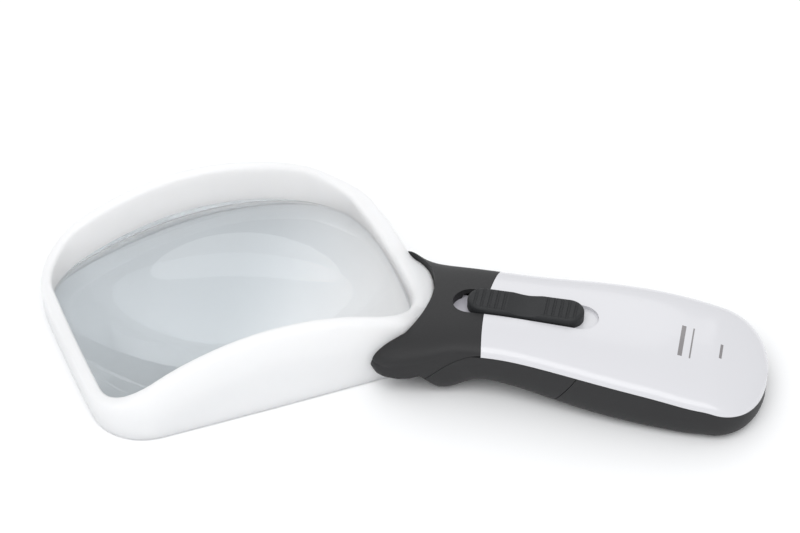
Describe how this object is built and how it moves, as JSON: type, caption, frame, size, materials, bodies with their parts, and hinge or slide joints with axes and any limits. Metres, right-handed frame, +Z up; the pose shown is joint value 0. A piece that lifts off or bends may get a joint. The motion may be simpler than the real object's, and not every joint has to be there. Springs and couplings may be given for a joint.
{
  "type": "illuminated hand magnifier",
  "caption": "Hand-held illuminated low vision magnifier: deep white frame with a waved rim round a rectangular aspheric lens, black neck, white-topped battery grip with a slide switch.",
  "frame": {"origin": "centre of the footprint on the table that the flat rim of the lens frame and the heel of the grip stand on", "axes": "+X along the grip from the lens to the tail, +Z up through the lens, its crowned side up"},
  "size_m": [0.2172, 0.1122, 0.0297],
  "materials": {
    "frame_white": "satin translucent white, slightly milky",
    "lens_clear": "polished clear acrylic with a hard coat",
    "prism_clear": "clear moulded acrylic",
    "cover_white": "white lacquered satin gloss",
    "grip_black": "fine-textured soft-feel black",
    "slider_black": "ribbed soft-feel black",
    "carriage_grey": "pale grey, slippery",
    "tray_grey": "plain moulded",
    "inner_white": "white reflector",
    "led_yellow": "phosphor dome",
    "circuit_board": "solder mask",
    "chip_black": "moulded epoxy",
    "choke_ferrite": "ferrite drum",
    "capacitor_tan": "ceramic",
    "switch_metal": "tinned shell",
    "cell_wrap": "printed shrink sleeve with no mark",
    "spring_steel": "nickel-plated wire",
    "contact_nickel": "nickel-plated strip",
    "lead_red": "insulation",
    "lead_black": "insulation",
    "screw_steel": "zinc-plated"
  },
  "bodies": {
    "magnifier": {"lens_frame": "frame_white", "magnifying_lens": "lens_clear", "led_board": "circuit_board", "led_emitter": "led_yellow", "led_reflector": "inner_white", "led_prism": "prism_clear", "led_lead_positive": "lead_red", "led_lead_negative": "lead_black", "neck_collar": "grip_black", "top_cover": "cover_white", "lower_shell": "grip_black", "battery_tray": "tray_grey", "battery_1": "cell_wrap", "battery_2": "cell_wrap", "battery_3": "cell_wrap", "battery_spring_1": "spring_steel", "battery_spring_2": "spring_steel", "battery_spring_3": "spring_steel", "contacts_front": "contact_nickel", "contacts_rear": "contact_nickel", "battery_lead_positive": "lead_red", "battery_lead_negative": "lead_black", "main_board": "circuit_board", "driver_chip": "chip_black", "choke": "choke_ferrite", "capacitors": "capacitor_tan", "slide_switch_body": "switch_metal", "frame_screws": "screw_steel", "cover_screws": "screw_steel", "tray_screws": "screw_steel", "board_screws": "screw_steel"},
    "switch": {"switch_slider": "slider_black", "switch_carriage": "carriage_grey", "slide_switch_lever": "chip_black"},
    "door": {"battery_door": "grip_black"}
  },
  "joints": [
    {"name": "switch_slide", "type": "slide", "parent": "magnifier", "child": "switch", "axis": [1, 0, 0], "range_m": [-0.003, 0.003]},
    {"name": "door_slide", "type": "slide", "parent": "magnifier", "child": "door", "axis": [0.9613, 0, -0.2756], "range_m": [0, 0.062]}
  ]
}
